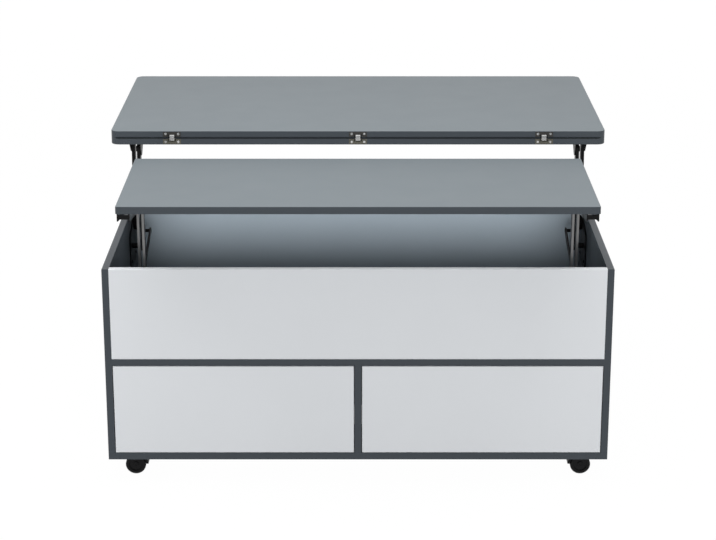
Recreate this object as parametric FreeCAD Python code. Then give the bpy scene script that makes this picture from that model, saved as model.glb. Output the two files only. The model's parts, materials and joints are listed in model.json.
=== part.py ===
"""Convertible coffee table: a wheeled cabinet with a double top that lifts back and unfolds forward.

Millimetres, +Z up, front towards -Y. The origin is on the floor below the middle of the cabinet.
The table is drawn raised and folded: arms up, upper leaf lying on the lower leaf.
"""
import FreeCAD, Part
import math
import os

# Cabinet
cabinet_width = 1100.0
cabinet_depth = 580.0
cabinet_height = 440.0
board = 15.0
drawer_bay_height = 205.0
caster_height = 50.0
board_edge_bevel = 0.8

# Drawers
front_gap = 1.5
runner_gap = 13.0
drawer_side_thickness = 12.0
drawer_side_height = 130.0
drawer_side_length = 450.0
drawer_base_thickness = 5.0
drawer_base_lift = 10.0
drawer_floor_gap = 20.0

# Drawer runners, two nested channels
runner_height = 45.0
runner_sheet = 1.5
runner_length = 440.0
runner_depth = 8.0
runner_clearance = 0.3

# Double top
top_seat_gap = 0.6
leaf_gap = 0.3
leaf_corner_radius = 18.0
seam_chamfer = 2.3

# Support panel
support_side_gap = 50.0
support_rear_overhang = 51.0
support_front_clearance = 4.2
support_sink = 19.9
support_corner_radius = 4.0

# Lift arms: angles are measured up from the direction in which the arms lie when closed
raised_angle = math.radians(94.0)
closed_angle = math.radians(4.7)
main_arm_length = 232.0
support_arm_length = 250.0
main_arm_width = 8.0
support_arm_width = 5.0
main_arm_depth = 24.0
support_arm_depth = 21.0
arm_sheet = 2.0
arm_pocket_inset = 24.0

# Pivots: the far pivot of each pair sits behind and above the near one
main_pivot_to_back = 125.0
main_pivot_drop = 80.0
support_pivot_to_front = 90.0
support_pivot_drop = 112.0
pivot_step_back = 40.0
pivot_step_up = 40.0
pin_radius = 4.0
pin_shoulder_radius = 6.0
pin_head_radius = 7.0
pin_head = 1.6
pivot_clearance = 0.08
open_pivot_clearance = 0.3
side_clearance = 0.5

# Steel plates of the lift
base_plate = 3.0
base_plate_margin = 18.0
base_plate_foot = 34.0
bracket_sheet = 2.0
bracket_wall_gap = 1.0
bracket_flare = 46.0
bracket_eye_radius = 16.0
bracket_corner_radius = 3.0
main_plate_gap = 1.0
main_arm_gap = 8.0
support_arm_gap = 9.5
bracket_side_gap = 0.6

# Rails below the support panel
rail_inset = 2.5
rail_side_gap = 1.0
rail_end_inset = 3.0
rail_end_depth = 17.0
rail_front_depth = 12.0
rail_eye_radius = 13.0

# Links that make both lifts turn together
sync_crank = 40.0
sync_link_sheet = 4.0
sync_link_radius = 7.0
sync_link_plane = 41.0
sync_eye_radius = 8.0

# Flip hinges in the front edges of the leaves
hinge_pitch = 414.0
hinge_plate_width = 40.0
hinge_plate_sheet = 1.5
hinge_plate_inset = 0.2
hinge_edge_margin = 1.2
hinge_pin_setback = 3.0
hinge_pin_rise = 3.2
hinge_pin_radius = 1.3
hinge_link_radius = 2.6
hinge_link_tip = 1.9
hinge_link_width = 10.0
hinge_ear_sheet = 1.5
hinge_ear_radius = 2.8
hinge_ear_gap = 0.6
hinge_ear_root = 1.5
hinge_slot_margin = 4.0
hinge_clearance = 0.4
hinge_screw_pitch = 28.0
hinge_screw_rise = 9.0
hinge_screw_radius = 1.5
hinge_screw_head_radius = 2.8

# Casters: each trails outwards from its swivel
caster_side_inset = 65.0
caster_front_inset = 54.0
caster_trail = 10.0
wheel_radius = 22.5
wheel_width = 11.0
wheel_edge_bevel = 2.5
wheel_dish_radius = 15.0
wheel_dish_depth = 2.5
wheel_side_gap = 0.5
fork_body_width = 13.0
fork_body_radius = 20.0
fork_boss_radius = 9.5
hood_gap = 0.9
hood_thickness = 5.0
hood_start_angle = math.radians(68.0)
hood_end_angle = math.radians(176.0)
caster_plate_size = 46.0
caster_plate_sheet = 2.5
caster_plate_corner = 5.0
stem_radius = 4.0
stem_length = 20.0
axle_radius = 3.0
axle_fit = 0.02
caster_play = 0.3

cut_overrun = 1.0
flat_tolerance = 0.1

# Places worked out from the driving dimensions
half_width = cabinet_width / 2
half_depth = cabinet_depth / 2
wall_in = half_width - board
cabinet_top = caster_height + cabinet_height
bay_floor = caster_height + board
bay_ceiling = bay_floor + drawer_bay_height
storage_floor_top = bay_ceiling + board
front_inner = board - half_depth
back_inner = half_depth - board

swing_out = math.cos(closed_angle) - math.cos(raised_angle)
swing_up = math.sin(raised_angle) - math.sin(closed_angle)
leaf_bottom = cabinet_top + top_seat_gap + main_arm_length * swing_up
leaf_front = main_arm_length * swing_out - half_depth
leaf_rear = leaf_front + cabinet_depth
seam = leaf_bottom + board + leaf_gap / 2

# The support panel fits between the walls and covers its arms when they lie down
support_width = 2 * (wall_in - support_side_gap)
support_arm_cover = support_pivot_to_front + support_arm_length * math.cos(closed_angle)
support_length = support_arm_cover + support_rear_overhang - support_front_clearance
support_front = front_inner + support_front_clearance - support_arm_length * swing_out
support_rear = support_front + support_length
support_bottom = cabinet_top - support_sink - board + support_arm_length * swing_up

# Planes of the lift pieces, as distances from the middle of the table
main_plate_in = wall_in - base_plate
main_outer_arm = main_plate_in - main_plate_gap
main_inner_arm = main_outer_arm - main_arm_width - main_arm_gap
bracket_out = wall_in - bracket_wall_gap
bracket_in = main_inner_arm - main_arm_width - bracket_side_gap - bracket_sheet
rail_out = support_width / 2 - rail_inset
support_outer_arm = rail_out - bracket_sheet - rail_side_gap
support_inner_arm = support_outer_arm - support_arm_width - support_arm_gap
rail_in = support_inner_arm - support_arm_width - rail_side_gap - bracket_sheet
link_out = wall_in - sync_link_plane
link_in = link_out - sync_link_sheet


def main_direction(angle):
    return (-math.cos(angle), math.sin(angle))


def support_direction(angle):
    return (math.cos(angle), math.sin(angle))


def moved(point, direction, distance):
    return (point[0] + direction[0] * distance, point[1] + direction[1] * distance)


# Pivots as (y, z)
main_front_base = (back_inner - main_pivot_to_back, cabinet_top - main_pivot_drop)
main_rear_base = (main_front_base[0] + pivot_step_back, main_front_base[1] + pivot_step_up)
support_rear_base = (front_inner + support_pivot_to_front, cabinet_top - support_pivot_drop)
support_front_base = (support_rear_base[0] - pivot_step_back, support_rear_base[1] + pivot_step_up)
main_front_head = moved(main_front_base, main_direction(raised_angle), main_arm_length)
main_rear_head = moved(main_rear_base, main_direction(raised_angle), main_arm_length)
support_front_head = moved(support_front_base, support_direction(raised_angle), support_arm_length)
support_rear_head = moved(support_rear_base, support_direction(raised_angle), support_arm_length)
middle_angle = (raised_angle + closed_angle) / 2
crank_turn = raised_angle - middle_angle + math.pi / 2
main_crank_pin = moved(main_front_base, main_direction(crank_turn), sync_crank)
support_crank_pin = moved(support_rear_base, support_direction(crank_turn + math.pi), sync_crank)


def in_space(axis, along, u, v):
    """Place the plane point (u, v) at a distance along the named axis."""
    places = {"x": (along, u, v), "y": (u, along, v), "z": (u, v, along)}
    return FreeCAD.Vector(*places[axis])


def outline(axis, along, circles):
    """Wire drawn round circles (u, v, radius) listed anticlockwise; radius 0 is a sharp corner."""
    count = len(circles)
    normals = []
    for index in range(count):
        u0, v0, r0 = circles[index]
        u1, v1, r1 = circles[(index + 1) % count]
        span = math.hypot(u1 - u0, v1 - v0)
        heading = math.atan2(v1 - v0, u1 - u0)
        normals.append(heading - math.pi / 2 + math.asin((r0 - r1) / span))

    def touch(index, angle):
        u, v, radius = circles[index % count]
        return in_space(axis, along, u + radius * math.cos(angle), v + radius * math.sin(angle))

    edges = []
    for index in range(count):
        start_angle = normals[index - 1]
        turn = (normals[index] - start_angle) % math.tau
        if circles[index][2] > 0:
            corner = [touch(index, start_angle + turn * part / 2) for part in range(3)]
            edges.append(Part.Arc(*corner).toShape())
        leaving = touch(index, normals[index])
        arriving = touch(index + 1, normals[index])
        edges.append(Part.LineSegment(leaving, arriving).toShape())
    return Part.Wire(edges)


def prism(axis, start, end, circles):
    """Straight solid between two planes, with the outline of the circles."""
    face = Part.Face(outline(axis, start, circles))
    return face.extrude(in_space(axis, end - start, 0, 0))


def block(x0, x1, y0, y1, z0, z1):
    return Part.makeBox(x1 - x0, y1 - y0, z1 - z0, FreeCAD.Vector(x0, y0, z0))


def rod(axis, start, end, u, v, radius):
    length = end - start
    return Part.makeCylinder(radius, length, in_space(axis, start, u, v), in_space(axis, 1, 0, 0))


def corners(u0, u1, v0, v1, radius):
    """Anticlockwise corner circles of a rounded rectangle."""
    return [
        (u0 + radius, v0 + radius, radius),
        (u1 - radius, v0 + radius, radius),
        (u1 - radius, v1 - radius, radius),
        (u0 + radius, v1 - radius, radius),
    ]


def fused(shapes):
    return shapes[0].fuse(shapes[1:]).removeSplitter()


def mirrored(shape):
    return shape.mirror(FreeCAD.Vector(0, 0, 0), FreeCAD.Vector(1, 0, 0))


def eased(shape, size, keep):
    """Bevel the edges for which keep(edge) holds."""
    return shape.makeChamfer(size, [edge for edge in shape.Edges if keep(edge)])


def save(name, shape):
    shape.exportStep("parts/" + name + ".step")


def save_pair(name, right_shape):
    save(name + "_right", right_shape)
    save(name + "_left", mirrored(right_shape))


def save_group(name, shapes):
    save(name, Part.makeCompound(shapes))


def make_cabinet():
    """Seven boards: the fronts of all of them end in one plane."""
    side = block(wall_in, half_width, -half_depth, half_depth, caster_height, cabinet_top)

    def outer_top(edge):
        return edge.BoundBox.XMin > wall_in + board / 2 and edge.BoundBox.ZMin > bay_ceiling

    save_pair("side_panel", eased(side, board_edge_bevel, outer_top))
    save("bottom_panel", block(-wall_in, wall_in, -half_depth, half_depth, caster_height, bay_floor))
    save("storage_floor",
         block(-wall_in, wall_in, -half_depth, back_inner, bay_ceiling, storage_floor_top))
    save("center_divider", block(-board / 2, board / 2, -half_depth, back_inner, bay_floor, bay_ceiling))
    front = block(-wall_in, wall_in, -half_depth, front_inner, storage_floor_top, cabinet_top)
    front_edges = lambda edge: edge.BoundBox.YMax < front_inner and edge.BoundBox.XLength > wall_in
    save("front_panel", eased(front, board_edge_bevel, front_edges))
    save("back_panel", block(-wall_in, wall_in, back_inner, half_depth, bay_floor, cabinet_top))


bay_in = board / 2
drawer_in = bay_in + runner_gap
drawer_out = wall_in - runner_gap
drawer_bottom = bay_floor + drawer_floor_gap
drawer_rear = front_inner + drawer_side_length
runner_low = drawer_bottom + (drawer_side_height - runner_height) / 2


def channel(x_back, direction, height, depth, low):
    """Runner section: a web on x_back with two lips towards the given side."""
    x_lip = x_back + direction * depth
    x_web = x_back + direction * runner_sheet
    y0 = front_inner + runner_clearance
    y1 = y0 + runner_length
    high = low + height
    web = block(min(x_back, x_web), max(x_back, x_web), y0, y1, low, high)
    lip_low = block(min(x_back, x_lip), max(x_back, x_lip), y0, y1, low, low + runner_sheet)
    lip_high = block(min(x_back, x_lip), max(x_back, x_lip), y0, y1, high - runner_sheet, high)
    return fused([web, lip_low, lip_high])


def make_drawers():
    front = block(bay_in + front_gap, wall_in - front_gap, -half_depth, front_inner,
                  bay_floor + front_gap, bay_ceiling - front_gap)
    face_edges = lambda edge: edge.BoundBox.YMax < front_inner - board / 2
    side_high = drawer_bottom + drawer_side_height
    inside_left = drawer_in + drawer_side_thickness
    inside_right = drawer_out - drawer_side_thickness
    base_low = drawer_bottom + drawer_base_lift
    base_rear = drawer_rear - drawer_side_thickness
    save_pair("drawer_front", eased(front, board_edge_bevel, face_edges))
    save_pair("drawer_inner_side",
              block(drawer_in, inside_left, front_inner, drawer_rear, drawer_bottom, side_high))
    save_pair("drawer_outer_side",
              block(inside_right, drawer_out, front_inner, drawer_rear, drawer_bottom, side_high))
    save_pair("drawer_back",
              block(inside_left, inside_right, base_rear, drawer_rear, drawer_bottom, side_high))
    save_pair("drawer_base",
              block(inside_left, inside_right, front_inner, base_rear, base_low,
                    base_low + drawer_base_thickness))
    nested_low = runner_low + runner_sheet + runner_clearance
    nested_height = runner_height - 2 * (runner_sheet + runner_clearance)
    cabinet_channels = [
        channel(bay_in, 1, runner_height, runner_depth, runner_low),
        channel(wall_in, -1, runner_height, runner_depth, runner_low),
    ]
    drawer_channels = [
        channel(drawer_in, -1, nested_height, runner_depth, nested_low),
        channel(drawer_out, 1, nested_height, runner_depth, nested_low),
    ]
    save_group("cabinet_runners", cabinet_channels + [mirrored(shape) for shape in cabinet_channels])
    save_pair("drawer_runners", Part.makeCompound(drawer_channels))


def arm(inner, width, base, head, depth, base_hole, head_hole, crank=None, crank_pin_to=None):
    """Pressed arm: a stadium-shaped pan, open towards the wall, with an eye at each end."""
    radius = depth / 2
    outer = inner + width
    length = math.hypot(head[0] - base[0], head[1] - base[1])
    along = ((head[0] - base[0]) / length, (head[1] - base[1]) / length)
    body = prism("x", inner, outer, [(base[0], base[1], radius), (head[0], head[1], radius)])
    low = moved(base, along, arm_pocket_inset)
    high = moved(head, along, -arm_pocket_inset)
    pocket_radius = radius - arm_sheet
    pocket = prism("x", inner + arm_sheet, outer + cut_overrun,
                   [(low[0], low[1], pocket_radius), (high[0], high[1], pocket_radius)])
    body = body.cut(pocket)
    if crank:
        ear = prism("x", inner, outer, [(*base, radius), (*crank, sync_eye_radius)])
        trunnion = rod("x", min(inner, crank_pin_to), max(outer, crank_pin_to), *crank, pin_radius)
        body = fused([body, ear, trunnion])
    start = inner - cut_overrun
    end = outer + cut_overrun
    body = body.cut(rod("x", start, end, base[0], base[1], base_hole))
    return body.cut(rod("x", start, end, head[0], head[1], head_hole))


def make_arms():
    running = pin_radius + pivot_clearance
    opened = pin_radius + open_pivot_clearance
    main_inner = main_inner_arm - main_arm_width
    main_outer = main_outer_arm - main_arm_width
    support_inner = support_inner_arm - support_arm_width
    support_outer = support_outer_arm - support_arm_width
    link_reach = link_in - side_clearance
    save_pair("lift_front_arm",
              arm(main_inner, main_arm_width, main_front_base, main_front_head, main_arm_depth,
                  running, running, main_crank_pin, link_reach))
    save_pair("lift_rear_arm",
              arm(main_outer, main_arm_width, main_rear_base, main_rear_head, main_arm_depth,
                  running, opened))
    save_pair("support_front_arm",
              arm(support_inner, support_arm_width, support_front_base, support_front_head,
                  support_arm_depth, running, opened))
    save_pair("support_rear_arm",
              arm(support_outer, support_arm_width, support_rear_base, support_rear_head,
                  support_arm_depth, running, running, support_crank_pin, link_reach))


def stepped_pin(wall_end, shoulder_end, journal_end, place):
    """Pivot pin from the wall side inwards: shoulder, journal and flat head."""
    y, z = place
    shoulder = rod("x", shoulder_end, wall_end, y, z, pin_shoulder_radius)
    journal = rod("x", journal_end, wall_end, y, z, pin_radius)
    head = rod("x", journal_end - pin_head, journal_end, y, z, pin_head_radius)
    return fused([shoulder, journal, head])


def base_pin(arm_out, arm_width, place):
    shoulder_end = arm_out + side_clearance
    return stepped_pin(main_plate_in, shoulder_end, arm_out - arm_width - side_clearance, place)


def make_bases():
    """Wall plates of the lift and the pins on which the arms turn."""
    corner = base_plate_margin
    front, rear = main_front_base, main_rear_base
    main_outline = [
        (front[0] - corner, front[1] - base_plate_foot, corner),
        (rear[0] + corner, front[1] - base_plate_foot, corner),
        (rear[0] + corner, rear[1], corner),
        (front[0] - corner, rear[1] - pivot_step_up / 2, corner),
    ]
    save_pair("lift_base_plate", prism("x", main_plate_in, wall_in, main_outline))
    near, far = support_rear_base, support_front_base
    support_outline = [
        (far[0] - corner / 2, near[1] - base_plate_foot, corner),
        (near[0] + corner, near[1] - base_plate_foot, corner),
        (near[0] + corner, near[1] + corner, corner),
        (far[0] - corner / 2, far[1], corner),
    ]
    save_pair("support_base_plate", prism("x", main_plate_in, wall_in, support_outline))
    pins = [
        base_pin(main_inner_arm, main_arm_width, main_front_base),
        base_pin(main_outer_arm, main_arm_width, main_rear_base),
        base_pin(support_inner_arm, support_arm_width, support_front_base),
        base_pin(support_outer_arm, support_arm_width, support_rear_base),
    ]
    save_group("base_pivot_pins", pins + [mirrored(pin) for pin in pins])


def folded_channel(inner, outer, top, inner_circles, outer_circles):
    """Inverted channel: two flanges with outlines of their own below a flat web."""
    flange_in = prism("x", inner, inner + bracket_sheet, inner_circles)
    flange_out = prism("x", outer - bracket_sheet, outer, outer_circles)
    edge = [place[0] for place in inner_circles if place[1] > top - 2 * bracket_corner_radius]
    web = block(inner, outer, min(edge), max(edge), top - bracket_sheet, top)
    return fused([flange_in, flange_out, web])


def headed_pin(flange, end, place):
    """Pin that stands on a flange and ends in a flat head beyond the arm that turns on it."""
    y, z = place
    head_end = end + math.copysign(pin_head, end - flange)
    journal = rod("x", min(flange, end), max(flange, end), y, z, pin_radius)
    head = rod("x", min(end, head_end), max(end, head_end), y, z, pin_head_radius)
    return fused([journal, head])


def make_top_brackets():
    """Brackets below the lower leaf: the inner flange carries the front arm, the outer the rear arm."""
    corner = bracket_corner_radius
    front, rear = main_front_head, main_rear_head
    top = leaf_bottom
    seat = [
        (rear[0] + bracket_flare, top - corner, corner),
        (front[0] - bracket_flare, top - corner, corner),
    ]
    inner_flange = [(front[0], front[1], bracket_eye_radius)] + seat
    outer_flange = [(rear[0], front[1], bracket_eye_radius)] + seat
    save_pair("top_bracket", folded_channel(bracket_in, bracket_out, top, inner_flange, outer_flange))
    front_end = main_inner_arm + side_clearance
    rear_end = main_outer_arm - main_arm_width - side_clearance
    pins = [
        headed_pin(bracket_in + bracket_sheet, front_end, front),
        headed_pin(bracket_out - bracket_sheet, rear_end, rear),
    ]
    save_group("top_pivot_pins", pins + [mirrored(pin) for pin in pins])


def make_support_rails():
    """Channels below the ends of the support panel, deepest at the arm pivots."""
    corner = bracket_corner_radius
    front, rear = support_front_head, support_rear_head
    top = support_bottom
    y0 = support_front + rail_end_inset
    y1 = support_rear - rail_end_inset
    low = top - rail_end_depth
    circles = [
        (y0 + corner, low + corner, corner),
        (rear[0], rear[1], rail_eye_radius),
        (y1 - corner, low + corner, corner),
        (y1 - corner, top - corner, corner),
        (y0 + corner, top - corner, corner),
    ]
    front_wall = block(rail_in, rail_out, y0, y0 + bracket_sheet, top - rail_front_depth, top - corner)
    channel_body = folded_channel(rail_in, rail_out, top, circles, circles)
    save_pair("support_rail", fused([channel_body, front_wall]))
    inside = rail_in + bracket_sheet
    outside = rail_out - bracket_sheet
    pins = [rod("x", inside, outside, place[0], place[1], pin_radius) for place in (front, rear)]
    save_group("support_pivot_pins", pins + [mirrored(pin) for pin in pins])


def make_sync_links():
    """Flat links from the main arms' cranks to the support arms' cranks."""
    near, far = main_crank_pin, support_crank_pin
    ends = [(far[0], far[1], sync_link_radius), (near[0], near[1], sync_link_radius)]
    link = prism("x", link_in, link_out, ends)
    start = link_in - cut_overrun
    end = link_out + cut_overrun
    link = link.cut(rod("x", start, end, near[0], near[1], pin_radius + pivot_clearance))
    link = link.cut(rod("x", start, end, far[0], far[1], pin_radius + open_pivot_clearance))
    save_group("sync_links", [link, mirrored(link)])


hinge_sweep = max(hinge_ear_radius, hinge_link_tip + hinge_link_radius) + hinge_clearance
hinge_slot_rise = hinge_pin_rise + hinge_sweep


def hinge_places():
    return [-hinge_pitch, 0, hinge_pitch]


def hinge_recess(x, side):
    """Space cut from one leaf for a hinge plate and its link; side is +1 above the seam and -1 below."""
    pocket_half = hinge_link_width / 2 + hinge_slot_margin
    pocket_reach = hinge_pin_setback + hinge_sweep
    z_far = seam + side * (hinge_slot_rise + hinge_ear_root)
    pocket = block(x - pocket_half, x + pocket_half, leaf_front - cut_overrun, leaf_front + pocket_reach,
                   min(seam, z_far), max(seam, z_far))
    mortise_half = hinge_plate_width / 2
    z_near = seam + side * seam_chamfer
    z_end = seam + side * (board - hinge_edge_margin)
    mortise_floor = leaf_front + hinge_plate_sheet + hinge_plate_inset
    mortise = block(x - mortise_half, x + mortise_half, leaf_front - cut_overrun, mortise_floor,
                    min(z_near, z_end), max(z_near, z_end))
    return fused([pocket, mortise])


def hinge_plate(x, side):
    """Plate flush with the edge of one leaf, with two ears that hold the link's pin."""
    slot_half = hinge_link_width / 2 + hinge_slot_margin
    half = hinge_plate_width / 2
    y0 = leaf_front + hinge_plate_inset
    y1 = y0 + hinge_plate_sheet
    z_near = seam + side * (seam_chamfer + hinge_plate_inset)
    z_end = seam + side * (board - hinge_edge_margin)
    plate = block(x - half, x + half, y0, y1, min(z_near, z_end), max(z_near, z_end))
    slot_end = seam + side * hinge_slot_rise
    slot = block(x - slot_half, x + slot_half, y0 - cut_overrun, y1 + cut_overrun,
                 min(seam, slot_end), max(seam, slot_end))
    plate = plate.cut(slot)
    screw_z = seam + side * hinge_screw_rise
    for screw_x in (x - hinge_screw_pitch / 2, x + hinge_screw_pitch / 2):
        countersink = Part.makeCone(hinge_screw_head_radius, hinge_screw_radius, hinge_plate_sheet,
                                    FreeCAD.Vector(screw_x, y0, screw_z), FreeCAD.Vector(0, 1, 0))
        plate = plate.cut(countersink)
    pieces = [plate]
    pin_y = leaf_front + hinge_pin_setback
    pin_z = seam + side * hinge_pin_rise
    root = (y0 + hinge_plate_sheet / 2, slot_end + side * hinge_ear_root / 2, hinge_plate_sheet / 2)
    for direction in (-1, 1):
        x_near = x + direction * (hinge_link_width / 2 + hinge_ear_gap)
        x_far = x_near + direction * hinge_ear_sheet
        ear_circles = [(pin_y, pin_z, hinge_ear_radius), root]
        pieces.append(prism("x", min(x_near, x_far), max(x_near, x_far), ear_circles))
    hole_half = half + cut_overrun
    hole = rod("x", x - hole_half, x + hole_half, pin_y, pin_z, hinge_pin_radius + pivot_clearance)
    return fused(pieces).cut(hole)


def hinge_link(x):
    """Short link with a trunnion in each leaf, so that the upper leaf can turn over to the front."""
    half = hinge_link_width / 2
    pin_half = half + hinge_ear_gap + hinge_ear_sheet
    y = leaf_front + hinge_pin_setback
    low = seam - hinge_pin_rise
    high = seam + hinge_pin_rise
    ends = [(y, low - hinge_link_tip, hinge_link_radius), (y, high + hinge_link_tip, hinge_link_radius)]
    body = prism("x", x - half, x + half, ends)
    trunnions = [rod("x", x - pin_half, x + pin_half, y, z, hinge_pin_radius) for z in (low, high)]
    return fused([body] + trunnions)


def leaf(low, side):
    """One leaf of the double top, with round corners and a bevel along the seam's front edge."""
    plan = corners(-half_width, half_width, leaf_front, leaf_rear, leaf_corner_radius)
    panel = prism("z", low, low + board, plan)
    face_near, face_far = (low, low + board) if side > 0 else (low + board, low)

    def outer_edges(edge):
        box = edge.BoundBox
        return max(abs(box.ZMin - face_far), abs(box.ZMax - face_far)) < flat_tolerance

    panel = eased(panel, board_edge_bevel, outer_edges)
    bevel_end = face_near + side * seam_chamfer
    beyond = face_near - side * cut_overrun
    reach = leaf_front + seam_chamfer + cut_overrun
    before = leaf_front - cut_overrun
    points = [(before, bevel_end + side * cut_overrun, 0), (before, beyond, 0), (reach, beyond, 0)]
    if side < 0:
        points.reverse()
    end = half_width + cut_overrun
    panel = panel.cut(prism("x", -end, end, points))
    for x in hinge_places():
        panel = panel.cut(hinge_recess(x, side))
    return panel


def make_top():
    save("lower_leaf", leaf(leaf_bottom, -1))
    save("upper_leaf", leaf(leaf_bottom + board + leaf_gap, 1))
    save_group("hinge_plates_lower", [hinge_plate(x, -1) for x in hinge_places()])
    save_group("hinge_plates_upper", [hinge_plate(x, 1) for x in hinge_places()])
    save_group("hinge_links", [hinge_link(x) for x in hinge_places()])
    half = support_width / 2
    plan = corners(-half, half, support_front, support_rear, support_corner_radius)
    panel = prism("z", support_bottom, support_bottom + board, plan)
    top_edges = lambda edge: edge.BoundBox.ZMin > support_bottom + board / 2
    save("support_panel", eased(panel, board_edge_bevel, top_edges))


def caster_places():
    """Swivel axes of the four casters by name."""
    x = half_width - caster_side_inset
    y = half_depth - caster_front_inset
    return {
        "front_left": (-x, -y),
        "front_right": (x, -y),
        "rear_left": (-x, y),
        "rear_right": (x, y),
    }


plate_low = caster_height - caster_plate_sheet
fork_top = plate_low - caster_play


def caster_plate(x, y):
    half = caster_plate_size / 2
    plan = corners(x - half, x + half, y - half, y + half, caster_plate_corner)
    return prism("z", plate_low, caster_height, plan)


def caster_stem(x, y):
    return rod("z", plate_low - stem_length, plate_low, x, y, stem_radius)


def caster_fork(x, y):
    """Middle body of a right-hand caster, between its wheels, with a hood over their inner side."""
    wheel_x = x + caster_trail
    half = fork_body_width / 2
    boss_z = fork_top - fork_boss_radius
    body = prism("y", y - half, y + half,
                 [(wheel_x, wheel_radius, fork_body_radius), (x, boss_z, fork_boss_radius)])
    hood_in = wheel_radius + hood_gap
    hood_out = hood_in + hood_thickness
    hood_half = half + wheel_side_gap + wheel_width
    sweep = [hood_start_angle, (hood_start_angle + hood_end_angle) / 2, hood_end_angle]

    def hood_point(radius, angle):
        return FreeCAD.Vector(wheel_x + radius * math.cos(angle), y - hood_half,
                              wheel_radius + radius * math.sin(angle))

    outer_arc = Part.Arc(*[hood_point(hood_out, angle) for angle in sweep])
    inner_arc = Part.Arc(*[hood_point(hood_in, angle) for angle in sweep])
    ends = [Part.LineSegment(hood_point(hood_in, angle), hood_point(hood_out, angle))
            for angle in (hood_start_angle, hood_end_angle)]
    edges = [curve.toShape() for curve in (outer_arc, ends[0], inner_arc, ends[1])]
    section = Part.Wire(Part.__sortEdges__(edges))
    hood = Part.Face(section).extrude(FreeCAD.Vector(0, 2 * hood_half, 0))
    rib = prism("y", y - half, y + half,
                [(wheel_x, wheel_radius, fork_boss_radius), (wheel_x, boss_z, fork_boss_radius),
                 (x, boss_z, fork_boss_radius)])
    whole = fused([body, hood, rib])
    reach = 2 * hood_out
    room = block(wheel_x - reach, wheel_x + reach, y - reach, y + reach, 0, fork_top)
    whole = whole.common(room)
    bore_low = plate_low - stem_length - caster_play
    whole = whole.cut(rod("z", bore_low, caster_height, x, y, stem_radius + pivot_clearance))
    axle_bore = axle_radius + axle_fit
    return whole.cut(rod("y", y - hood_half, y + hood_half, wheel_x, wheel_radius, axle_bore))


def caster_wheel(x, y, direction):
    """One wheel of a right-hand caster, dished on its outer face."""
    wheel_x = x + caster_trail
    near = y + direction * (fork_body_width / 2 + wheel_side_gap)
    far = near + direction * wheel_width
    disc = rod("y", min(near, far), max(near, far), wheel_x, wheel_radius, wheel_radius)
    rims = [edge for edge in disc.Edges if edge.Closed and edge.BoundBox.YLength < flat_tolerance]
    disc = disc.makeChamfer(wheel_edge_bevel, rims)
    dish_floor = far - direction * wheel_dish_depth
    dish = rod("y", min(dish_floor, far), max(dish_floor, far), wheel_x, wheel_radius, wheel_dish_radius)
    hub = rod("y", min(dish_floor, far), max(dish_floor, far), wheel_x, wheel_radius, 2 * axle_radius)
    bore = rod("y", min(near, far), max(near, far), wheel_x, wheel_radius, axle_radius + pivot_clearance)
    return disc.cut(dish.cut(hub)).cut(bore)


def make_casters():
    places = caster_places()
    save_group("caster_plates", [caster_plate(x, y) for x, y in places.values()])
    save_group("caster_stems", [caster_stem(x, y) for x, y in places.values()])
    axle_half = fork_body_width / 2 + wheel_width
    for row in ("front", "rear"):
        x, y = places[row + "_right"]
        wheels = Part.makeCompound([caster_wheel(x, y, side) for side in (-1, 1)])
        axle = rod("y", y - axle_half, y + axle_half, x + caster_trail, wheel_radius, axle_radius)
        save_pair("caster_fork_" + row, caster_fork(x, y))
        save_pair("caster_wheels_" + row, wheels)
        save_pair("caster_axle_" + row, axle)


os.makedirs("parts", exist_ok=True)
make_cabinet()
make_drawers()
make_bases()
make_arms()
make_top_brackets()
make_support_rails()
make_sync_links()
make_top()
make_casters()
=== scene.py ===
"""Looks of the convertible table: finishes, screws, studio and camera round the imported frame. Metres."""
import json
import math

import bpy
from mathutils import Matrix, Vector


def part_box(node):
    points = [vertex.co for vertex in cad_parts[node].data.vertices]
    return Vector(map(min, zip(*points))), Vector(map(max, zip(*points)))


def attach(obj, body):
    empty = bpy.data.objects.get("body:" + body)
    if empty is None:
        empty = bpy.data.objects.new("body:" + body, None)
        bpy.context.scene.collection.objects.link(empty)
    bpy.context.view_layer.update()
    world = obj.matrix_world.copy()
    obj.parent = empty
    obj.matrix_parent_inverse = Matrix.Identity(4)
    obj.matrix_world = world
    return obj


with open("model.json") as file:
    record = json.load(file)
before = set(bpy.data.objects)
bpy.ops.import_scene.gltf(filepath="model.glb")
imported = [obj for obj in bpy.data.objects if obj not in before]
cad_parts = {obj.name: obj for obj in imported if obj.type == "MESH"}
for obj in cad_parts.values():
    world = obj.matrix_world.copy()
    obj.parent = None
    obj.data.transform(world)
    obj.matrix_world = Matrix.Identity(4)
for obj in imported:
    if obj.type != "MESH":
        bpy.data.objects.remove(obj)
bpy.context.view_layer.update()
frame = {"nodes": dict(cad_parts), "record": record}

nodes = frame["nodes"]
slot_of_node = {entry["node"]: entry["material_slot"] for entry in frame["record"]["subparts"]}

# Sides of the table, each with the direction along X towards its middle
SIDES = (("left", 1), ("right", -1))

# Colours of the finishes, linear
GREY_FACE = (0.148, 0.176, 0.194)
# Dark edge banding, also put on the side panels' inner faces as painted shade
GREY_EDGE_AND_PAINTED_SHADE = (0.054, 0.064, 0.075)
# Lighter grey for the back panel's inner face only: partly the board's tone, partly painted light standing
# in for light falling into the compartment
GREY_INNER_WITH_PAINTED_LIGHT = (0.2, 0.235, 0.265)
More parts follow.
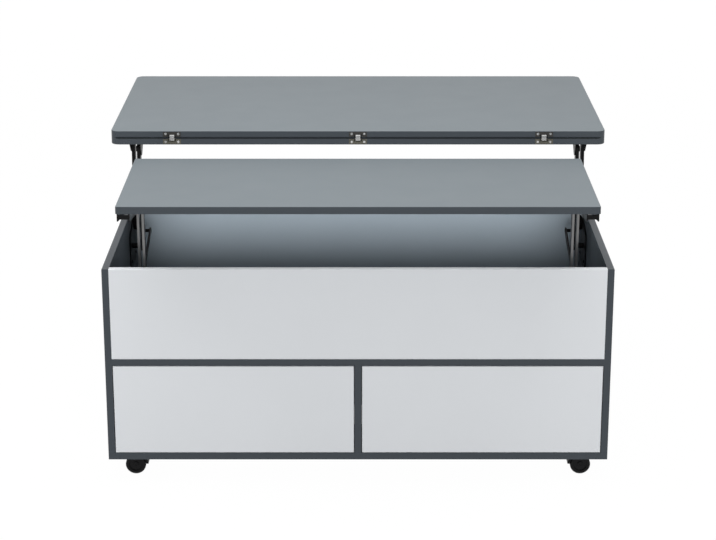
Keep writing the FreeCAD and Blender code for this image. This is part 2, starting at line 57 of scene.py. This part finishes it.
# Painted shade: near black on the lower leaf's front seam bevel, standing in for the shadow under the
# upper leaf
SEAM_PAINTED_SHADE = (0.016, 0.019, 0.022)
WHITE = (0.855, 0.88, 0.91)
DRAWER_BOARD = (0.62, 0.63, 0.64)
BLACK_PAINT = (0.006, 0.006, 0.0065)
BLACK_PLASTIC = (0.004, 0.004, 0.0045)
WHEEL_PLASTIC = (0.005, 0.005, 0.0055)
ZINC = (0.4, 0.405, 0.4)
UPPER_HINGE_PLATE = (0.085, 0.082, 0.078)
LOWER_HINGE_PLATE = (0.17, 0.165, 0.138)
BRIGHT_STEEL = (0.8, 0.8, 0.79)
BARE_EDGE = (0.2, 0.2, 0.2)

# Stretch of the noise in plated steel, for streaks along one axis
ALONG_X = (0.05, 1.0, 1.0)
ALONG_Y = (1.0, 0.05, 1.0)
ALONG_Z = (1.0, 1.0, 0.05)

# Part of the noise's range that a variation is spread over
NOISE_LOW = 0.3
NOISE_HIGH = 0.7

# Least cosine between a polygon's normal and the direction that it counts as facing
FACING_SHARE = 0.9
BEVEL_FACING_SHARE = 0.5

# Screws
SCREW_SEGMENTS = 24
SCREW_SPIN = 0.7
HINGE_SCREW_RADIUS = 0.0027
HINGE_SCREW_SINK = 0.00005
HINGE_SCREW_INSET = 0.006
HINGE_SCREW_EDGE = 0.0048
HINGE_PLATE_WIDTH = 0.04
PLATE_SCREW_RADIUS = 0.0042
PLATE_CORNER = 0.018
RAIL_SCREW_INSET = 0.03
BRACKET_SCREW_INSET = 0.012
STEEL_SHEET = 0.002
RUNNER_SHEET = 0.0015
RUNNER_SCREW_INSET = 0.035
RUNNER_SCREW_RADIUS = 0.0038

# Profiles of a unit screw head from rim to crown, as shares of its radius: (radius, height)
PAN_PROFILE_SHARES = ((1.0, 0.0), (1.0, 0.18), (0.94, 0.34), (0.8, 0.46), (0.55, 0.53))
FLAT_PROFILE_SHARES = ((1.0, -0.1), (1.0, -0.02), (0.96, 0.0), (0.55, 0.0))
RECESS_ARM_SHARE = 0.5
RECESS_HALF_WIDTH_SHARE = 0.13
RECESS_DEPTH_SHARE = 0.3
RECESS_FLOOR_SHARE = 0.8

# Camera, fitted to the photograph's perspective
CAMERA_PLACE = (0.0, -4.423, 1.801)
CAMERA_PITCH = math.radians(17.616)
CAMERA_LENS = 101.8
SENSOR_WIDTH = 36.0
CLIP_END = 200.0

# Floor and surroundings
FLOOR_HALF = 40.0
FLOOR_COLOUR = (0.3, 0.3, 0.3, 1.0)
FLOOR_ROUGHNESS = 0.9
FLOOR_GLOW = 1.06
FLOOR_GLOW_SHARE = 0.93
WHITE_LIGHT = (1.0, 1.0, 1.0, 1.0)
SKY_FILL = 0.3

# Softboxes above, in front and behind
CABINET_MIDDLE = (0.0, 0.0, 0.4)
KEY_PLACE = (-0.3, -0.6, 2.6)
KEY_TARGET = (-0.3, -0.4, 0.5)
KEY_LENGTH = 3.2
KEY_WIDTH = 1.2
KEY_WATTS = 46.0
FRONT_PLACE = (0.0, -8.0, 1.9)
FRONT_LENGTH = 8.0
FRONT_WIDTH = 3.0
FRONT_WATTS = 335.0
REAR_PLACE = (0.0, 8.0, 1.9)
REAR_WATTS = 150.0

# Strips below the raised tops, for the back wall's inside and for the front panel's top edge
STRIP_LENGTH = 1.0
STRIP_PLACE = (0.0, -0.1, 0.464)
STRIP_TARGET = (0.0, 0.275, 0.475)
STRIP_WIDTH = 0.05
STRIP_WATTS = 0.66
STRIP_SPREAD = math.radians(50)
EDGE_STRIP_PLACE = (0.0, -0.2825, 0.64)
EDGE_STRIP_TARGET = (0.0, -0.2825, 0.49)
EDGE_STRIP_WIDTH = 0.014
EDGE_STRIP_WATTS = 0.33


class Material:
    """A Principled material with helpers for the noise that varies it."""

    def __init__(self, name, colour, roughness, metallic=0.0, specular=0.5):
        self.data = bpy.data.materials.new(name)
        self.data.use_nodes = True
        self.tree = self.data.node_tree
        self.shader = self.tree.nodes["Principled BSDF"]
        self.shader.inputs["Base Color"].default_value = (*colour, 1.0)
        self.shader.inputs["Roughness"].default_value = roughness
        self.shader.inputs["Metallic"].default_value = metallic
        self.shader.inputs["Specular IOR Level"].default_value = specular
        self.place = self.tree.nodes.new("ShaderNodeTexCoord").outputs["Object"]

    def noise(self, scale, detail, stretch=(1.0, 1.0, 1.0)):
        mapping = self.tree.nodes.new("ShaderNodeMapping")
        mapping.inputs["Scale"].default_value = stretch
        texture = self.tree.nodes.new("ShaderNodeTexNoise")
        texture.inputs["Scale"].default_value = scale
        texture.inputs["Detail"].default_value = detail
        self.tree.links.new(self.place, mapping.inputs["Vector"])
        self.tree.links.new(mapping.outputs["Vector"], texture.inputs["Vector"])
        return texture.outputs["Fac"]

    def vary_colour(self, factor, colour, spread):
        """Shade the colour by the spread, darker to lighter."""
        ramp = self.tree.nodes.new("ShaderNodeValToRGB")
        stops = ((NOISE_LOW, 1 - spread), (NOISE_HIGH, 1 + spread))
        for element, (position, share) in zip(ramp.color_ramp.elements, stops):
            element.color = (*[channel * share for channel in colour], 1.0)
            element.position = position
        self.tree.links.new(factor, ramp.inputs["Fac"])
        self.tree.links.new(ramp.outputs["Color"], self.shader.inputs["Base Color"])

    def vary_roughness(self, factor, low, high):
        spread = self.tree.nodes.new("ShaderNodeMapRange")
        spread.inputs["From Min"].default_value = NOISE_LOW
        spread.inputs["From Max"].default_value = NOISE_HIGH
        spread.inputs["To Min"].default_value = low
        spread.inputs["To Max"].default_value = high
        self.tree.links.new(factor, spread.inputs["Value"])
        self.tree.links.new(spread.outputs["Result"], self.shader.inputs["Roughness"])

    def bump(self, height, strength, distance):
        node = self.tree.nodes.new("ShaderNodeBump")
        node.inputs["Strength"].default_value = strength
        node.inputs["Distance"].default_value = distance
        self.tree.links.new(height, node.inputs["Height"])
        self.tree.links.new(node.outputs["Normal"], self.shader.inputs["Normal"])


def laminate(name, colour, roughness):
    """Satin melamine: even colour, faint clouding and a fine pressed grain."""
    made = Material(name, colour, roughness, specular=0.3)
    made.vary_colour(made.noise(scale=3.0, detail=4.0), colour, spread=0.012)
    made.vary_roughness(made.noise(scale=14.0, detail=3.0),
                        low=roughness - 0.012, high=roughness + 0.012)
    made.bump(made.noise(scale=2600.0, detail=2.0), strength=0.12, distance=0.00012)
    return made.data


def powder_coat(name, colour, roughness):
    """Black stoving paint with its orange-peel texture."""
    made = Material(name, colour, roughness, specular=0.12)
    made.vary_colour(made.noise(scale=40.0, detail=3.0), colour, spread=0.15)
    made.vary_roughness(made.noise(scale=60.0, detail=3.0),
                        low=roughness - 0.08, high=roughness + 0.08)
    made.bump(made.noise(scale=1500.0, detail=2.0), strength=0.25, distance=0.0001)
    return made.data


def moulded(name, colour, roughness):
    """Black nylon with a spark-eroded grain."""
    made = Material(name, colour, roughness, specular=0.14)
    made.vary_colour(made.noise(scale=90.0, detail=3.0), colour, spread=0.12)
    made.vary_roughness(made.noise(scale=120.0, detail=3.0),
                        low=roughness - 0.06, high=roughness + 0.1)
    made.bump(made.noise(scale=3200.0, detail=1.0), strength=0.3, distance=0.00008)
    return made.data


def plated(name, colour, roughness, stretch):
    """Plated steel with drawn streaks along one direction."""
    made = Material(name, colour, roughness, metallic=1.0)
    made.vary_colour(made.noise(scale=30.0, detail=4.0), colour, spread=0.08)
    made.vary_roughness(made.noise(scale=260.0, detail=3.0, stretch=stretch),
                        low=roughness - 0.07, high=roughness + 0.1)
    made.bump(made.noise(scale=900.0, detail=2.0, stretch=stretch), strength=0.12, distance=0.00006)
    return made.data


finishes = {
    "grey_laminate": laminate("grey_laminate", GREY_FACE, roughness=0.42),
    "white_laminate": laminate("white_laminate", WHITE, roughness=0.34),
    "drawer_board": laminate("drawer_board", DRAWER_BOARD, roughness=0.5),
    "black_steel": powder_coat("black_steel", BLACK_PAINT, roughness=0.42),
    "black_plastic": moulded("black_plastic", BLACK_PLASTIC, roughness=0.45),
    "wheel_plastic": moulded("wheel_plastic", WHEEL_PLASTIC, roughness=0.38),
    "zinc_steel": plated("zinc_steel", ZINC, roughness=0.3, stretch=ALONG_Y),
}
# Edge banding, and painted shade on the side panels' inner faces
edge_band_and_painted_shade = laminate("grey_edge_band", GREY_EDGE_AND_PAINTED_SHADE, roughness=0.42)
# Lighter grey with painted light, for the back panel's inner face
inner_with_painted_light = laminate("grey_liner", GREY_INNER_WITH_PAINTED_LIGHT, roughness=0.5)
# Painted shade for the lower leaf's seam bevel
seam_bevel = laminate("seam_bevel", SEAM_PAINTED_SHADE, roughness=0.6)
hinge_plate_finishes = {
    "hinge_plates_upper": plated("upper_hinge_plate", UPPER_HINGE_PLATE, roughness=0.42,
                                 stretch=ALONG_X),
    "hinge_plates_lower": plated("lower_hinge_plate", LOWER_HINGE_PLATE, roughness=0.42,
                                 stretch=ALONG_X),
}
bright_steel = plated("bright_steel", BRIGHT_STEEL, roughness=0.24, stretch=ALONG_X)
bare_edge = plated("bare_edge", BARE_EDGE, roughness=0.34, stretch=ALONG_Z)


def paint(piece, material):
    piece.data.materials.clear()
    piece.data.materials.append(material)


def paint_by_facing(piece, materials, choose):
    """Give each polygon the material whose place in the list choose(normal) returns."""
    piece.data.materials.clear()
    for material in materials:
        piece.data.materials.append(material)
    for polygon in piece.data.polygons:
        polygon.material_index = choose(polygon.normal)


# Boards with two laminated faces, by the axis of their thickness
BOARD_AXES = {
    "center_divider": 0, "bottom_panel": 2, "storage_floor": 2, "support_panel": 2, "upper_leaf": 2,
}


def paint_boards():
    """Laminate on the faces of the boards that show it and banding on their edges, with painted shade on
    the side panels' inner faces and the lower leaf's seam bevel, and a lighter grey with painted light on
    the back panel's inner face.
    """
    faced = [finishes["grey_laminate"], edge_band_and_painted_shade]
    for name, axis in BOARD_AXES.items():
        paint_by_facing(nodes[name], faced,
                        lambda normal: 0 if abs(normal[axis]) > FACING_SHARE else 1)
    # Side panels: laminate on the outer face only; the inner face gets the dark edge grey as painted shade
    for side, inward in SIDES:
        paint_by_facing(nodes["side_panel_" + side], faced,
                        lambda normal: 0 if normal.x * inward < -FACING_SHARE else 1)

    def lower_leaf_side(normal):
        if abs(normal.z) > FACING_SHARE:
            return 0
        # The upward and forward facing bevel at the seam gets the painted shade
        bevel = normal.z > BEVEL_FACING_SHARE and normal.y < -BEVEL_FACING_SHARE
        return 2 if bevel else 1

    def back_panel_side(normal):
        # The inner face gets the lighter grey with painted light, the rear face laminate, the edges
        # banding
        if normal.y < -FACING_SHARE:
            return 2
        return 0 if normal.y > FACING_SHARE else 1

    paint_by_facing(nodes["lower_leaf"], faced + [seam_bevel], lower_leaf_side)
    paint_by_facing(nodes["back_panel"], faced + [inner_with_painted_light], back_panel_side)


def dress_cad_nodes():
    for name, piece in nodes.items():
        paint(piece, finishes[slot_of_node[name]])
    paint_boards()
    for name in ("support_front_arm_", "support_rear_arm_"):
        for side, _ in SIDES:
            paint_by_facing(nodes[name + side], [finishes["black_steel"], bare_edge],
                            lambda normal: 1 if abs(normal.y) > FACING_SHARE else 0)
    for name, finish in hinge_plate_finishes.items():
        paint(nodes[name], finish)
    paint(nodes["hinge_links"], bright_steel)


def add_mesh(name, vertices, faces):
    mesh = bpy.data.meshes.new(name)
    mesh.from_pydata(vertices, [], faces)
    mesh.update()
    piece = bpy.data.objects.new(name, mesh)
    bpy.context.scene.collection.objects.link(piece)
    return piece


def cross_outline():
    """Corners of the driver's cross, anticlockwise."""
    arm, half = RECESS_ARM_SHARE, RECESS_HALF_WIDTH_SHARE
    quarter = [(arm, -half), (arm, half), (half, half)]
    corners = []
    for turn in range(4):
        spin = Matrix.Rotation(turn * math.pi / 2, 2)
        corners += [spin @ Vector(corner) for corner in quarter]
    return corners


def ring_step(corner):
    """Step of a screw's rings that lies in the direction of a corner."""
    return round(math.atan2(corner.y, corner.x) / math.tau * SCREW_SEGMENTS) % SCREW_SEGMENTS


def screw_mesh(profile):
    """Closed unit screw head: a turned crown round a cross-shaped recess, as (vertices, faces)."""
    vertices = []
    faces = []
    rings = []
    for radius, height in profile:
        ring = []
        for step in range(SCREW_SEGMENTS):
            angle = math.tau * step / SCREW_SEGMENTS
            ring.append(len(vertices))
            vertices.append((radius * math.cos(angle), radius * math.sin(angle), height))
        rings.append(ring)
    for outer, inner in zip(rings, rings[1:]):
        for step in range(SCREW_SEGMENTS):
            after = (step + 1) % SCREW_SEGMENTS
            faces.append((outer[step], outer[after], inner[after], inner[step]))
    top = profile[-1][1]
    depth = top - RECESS_DEPTH_SHARE
    cross = cross_outline()
    rim = [len(vertices) + index for index in range(len(cross))]
    vertices += [(corner.x, corner.y, top) for corner in cross]
    floor = [len(vertices) + index for index in range(len(cross))]
    for corner in cross:
        vertices.append((corner.x * RECESS_FLOOR_SHARE, corner.y * RECESS_FLOOR_SHARE, depth))
    for index in range(len(cross)):
        after = (index + 1) % len(cross)
        faces.append((rim[index], rim[after], floor[after], floor[index]))
    faces.append(tuple(floor))
    faces.append(tuple(reversed(rings[0])))
    crown = rings[-1]
    for index in range(len(cross)):
        after = (index + 1) % len(cross)
        first = ring_step(cross[index])
        steps = (ring_step(cross[after]) - first) % SCREW_SEGMENTS
        arc = [crown[(first + step) % SCREW_SEGMENTS] for step in range(steps + 1)]
        faces.append(tuple(arc + [rim[after], rim[index]]))
    return vertices, faces


def screws(name, body, profile, finish, places):
    """One piece that holds a body's screw heads of one kind.

    The places are (centre, outward direction, radius), and each cross is turned on from the last.
    """
    unit_vertices, unit_faces = screw_mesh(profile)
    vertices = []
    faces = []
    for index, (centre, outward, radius) in enumerate(places):
        spin = Matrix.Rotation(index * SCREW_SPIN, 4, "Z")
        aim = Vector(outward).to_track_quat("Z", "Y").to_matrix().to_4x4()
        move = Matrix.Translation(centre) @ aim @ spin @ Matrix.Scale(radius, 4)
        start = len(vertices)
        vertices += [move @ Vector(vertex) for vertex in unit_vertices]
        faces += [tuple(start + corner for corner in face) for face in unit_faces]
    piece = add_mesh(name, vertices, faces)
    paint(piece, finish)
    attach(piece, body)


def hinge_screws(name, body, node, outer_edge):
    """Flat heads in the countersinks of three hinge plates.

    outer_edge is 1 or -1 where the plates' edge away from the seam is the upper or the lower one.
    """
    low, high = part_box(node)
    middle = (low.x + high.x) / 2
    span = high.x - low.x - HINGE_PLATE_WIDTH
    z = high.z - HINGE_SCREW_EDGE if outer_edge > 0 else low.z + HINGE_SCREW_EDGE
    reach = HINGE_PLATE_WIDTH / 2 - HINGE_SCREW_INSET
    places = []
    for hinge in (-1, 0, 1):
        for side in (-1, 1):
            x = middle + hinge * span / 2 + side * reach
            places.append(((x, low.y + HINGE_SCREW_SINK, z), (0, -1, 0), HINGE_SCREW_RADIUS))
    screws(name, body, FLAT_PROFILE_SHARES, bright_steel, places)


def wall_plate_screws():
    """Two pan heads at the foot of each steel wall plate of the lifts."""
    places = []
    for side, inward in SIDES:
        for plate in ("lift_base_plate_", "support_base_plate_"):
            low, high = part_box(plate + side)
            x = high.x if inward > 0 else low.x
            for y in (low.y + PLATE_CORNER, high.y - PLATE_CORNER):
                places.append(((x, y, low.z + PLATE_CORNER), (inward, 0, 0), PLATE_SCREW_RADIUS))
    screws("wall_plate_screws", "cabinet", PAN_PROFILE_SHARES, finishes["black_steel"], places)


def under_screws(name, body, node, inset, rows):
    """Pan heads below the web of a channel, spread along its length."""
    places = []
    for side, _ in SIDES:
        low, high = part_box(node + side)
        x = (low.x + high.x) / 2
        for row in range(rows):
            y = low.y + inset + (high.y - low.y - 2 * inset) * row / (rows - 1)
            places.append(((x, y, high.z - STEEL_SHEET), (0, 0, -1), PLATE_SCREW_RADIUS))
    screws(name, body, PAN_PROFILE_SHARES, finishes["black_steel"], places)


def runner_screws(side, inward):
    """Pan heads in the drawer's halves of its two runners."""
    body = "drawer_" + side
    low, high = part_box("drawer_runners_" + side)
    z = (low.z + high.z) / 2
    places = []
    for board, outward in (("drawer_outer_side_", -inward), ("drawer_inner_side_", inward)):
        near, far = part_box(board + side)
        x = far.x + RUNNER_SHEET if outward > 0 else near.x - RUNNER_SHEET
        for y in (low.y + RUNNER_SCREW_INSET, (low.y + high.y) / 2, high.y - RUNNER_SCREW_INSET):
            places.append(((x, y, z), (outward, 0, 0), RUNNER_SCREW_RADIUS))
    screws("runner_screws_" + side, body, PAN_PROFILE_SHARES, finishes["black_steel"], places)


def build_screws():
    hinge_screws("hinge_screws_lower", "table_top", "hinge_plates_lower", outer_edge=-1)
    hinge_screws("hinge_screws_upper", "flip_leaf", "hinge_plates_upper", outer_edge=1)
    wall_plate_screws()
    under_screws("bracket_screws", "table_top", "top_bracket_", BRACKET_SCREW_INSET, rows=2)
    under_screws("rail_screws", "support_top", "support_rail_", RAIL_SCREW_INSET, rows=4)
    for side, inward in SIDES:
        runner_screws(side, inward)


def seen_directly(tree):
    """1 for camera, glossy and transmission rays, and 0 for the rays that light the object."""
    path = tree.nodes.new("ShaderNodeLightPath")
    total = path.outputs["Is Camera Ray"]
    for name in ("Is Glossy Ray", "Is Transmission Ray"):
        larger = tree.nodes.new("ShaderNodeMath")
        larger.operation = "MAXIMUM"
        tree.links.new(total, larger.inputs[0])
        tree.links.new(path.outputs[name], larger.inputs[1])
        total = larger.outputs[0]
    return total


def build_floor():
    """Pale floor that looks white and keeps the table's shadow."""
    half = FLOOR_HALF
    corners = [(-half, -half, 0), (half, -half, 0), (half, half, 0), (-half, half, 0)]
    floor = add_mesh("floor", corners, [(0, 1, 2, 3)])
    made = bpy.data.materials.new("floor")
    made.use_nodes = True
    tree = made.node_tree
    shader = tree.nodes["Principled BSDF"]
    shader.inputs["Base Color"].default_value = FLOOR_COLOUR
    shader.inputs["Roughness"].default_value = FLOOR_ROUGHNESS
    glow = tree.nodes.new("ShaderNodeEmission")
    glow.inputs["Strength"].default_value = FLOOR_GLOW
    mix = tree.nodes.new("ShaderNodeMixShader")
    share = tree.nodes.new("ShaderNodeMath")
    share.operation = "MULTIPLY"
    share.inputs[1].default_value = FLOOR_GLOW_SHARE
    tree.links.new(seen_directly(tree), share.inputs[0])
    tree.links.new(share.outputs[0], mix.inputs[0])
    tree.links.new(shader.outputs[0], mix.inputs[1])
    tree.links.new(glow.outputs[0], mix.inputs[2])
    tree.links.new(mix.outputs[0], tree.nodes["Material Output"].inputs["Surface"])
    paint(floor, made)


def softbox(name, place, target, length, width, watts):
    """Rectangular light aimed at a target, seen by nothing but the surfaces that it lights."""
    data = bpy.data.lights.new(name, "AREA")
    data.shape = "RECTANGLE"
    data.size = length
    data.size_y = width
    data.energy = watts
    lamp = bpy.data.objects.new(name, data)
    lamp.location = place
    lamp.rotation_euler = (Vector(target) - Vector(place)).to_track_quat("-Z", "Y").to_euler()
    lamp.visible_camera = False
    lamp.visible_glossy = False
    bpy.context.scene.collection.objects.link(lamp)
    return lamp


def light_only(lamp, node):
    """Keep a lamp's light to one node."""
    receivers = bpy.data.collections.new("lit_by_" + lamp.name)
    receivers.objects.link(nodes[node])
    lamp.light_linking.receiver_collection = receivers


def build_world():
    """White surroundings as seen, and a softer fill on the object."""
    world = bpy.data.worlds.new("studio")
    world.use_nodes = True
    bpy.context.scene.world = world
    tree = world.node_tree
    fill = tree.nodes["Background"]
    fill.inputs["Strength"].default_value = SKY_FILL
    fill.inputs["Color"].default_value = WHITE_LIGHT
    white = tree.nodes.new("ShaderNodeBackground")
    white.inputs["Color"].default_value = WHITE_LIGHT
    mix = tree.nodes.new("ShaderNodeMixShader")
    tree.links.new(seen_directly(tree), mix.inputs[0])
    tree.links.new(fill.outputs[0], mix.inputs[1])
    tree.links.new(white.outputs[0], mix.inputs[2])
    tree.links.new(mix.outputs[0], tree.nodes["World Output"].inputs["Surface"])


def build_lamps():
    softbox("key", KEY_PLACE, KEY_TARGET, KEY_LENGTH, KEY_WIDTH, KEY_WATTS)
    softbox("front", FRONT_PLACE, CABINET_MIDDLE, FRONT_LENGTH, FRONT_WIDTH, FRONT_WATTS)
    softbox("rear", REAR_PLACE, CABINET_MIDDLE, FRONT_LENGTH, FRONT_WIDTH, REAR_WATTS)
    strip = softbox("compartment_strip", STRIP_PLACE, STRIP_TARGET, STRIP_LENGTH, STRIP_WIDTH,
                    STRIP_WATTS)
    strip.data.spread = STRIP_SPREAD
    light_only(strip, "back_panel")
    edge_strip = softbox("edge_strip", EDGE_STRIP_PLACE, EDGE_STRIP_TARGET, STRIP_LENGTH,
                         EDGE_STRIP_WIDTH, EDGE_STRIP_WATTS)
    light_only(edge_strip, "front_panel")


def build_camera():
    data = bpy.data.cameras.new("camera")
    data.sensor_width = SENSOR_WIDTH
    data.lens = CAMERA_LENS
    data.clip_end = CLIP_END
    camera = bpy.data.objects.new("camera", data)
    camera.location = CAMERA_PLACE
    camera.rotation_euler = (math.pi / 2 - CAMERA_PITCH, 0, 0)
    bpy.context.scene.collection.objects.link(camera)
    bpy.context.scene.camera = camera


dress_cad_nodes()
build_screws()
build_floor()
build_world()
build_lamps()
build_camera()
bpy.context.scene.view_settings.view_transform = "Standard"
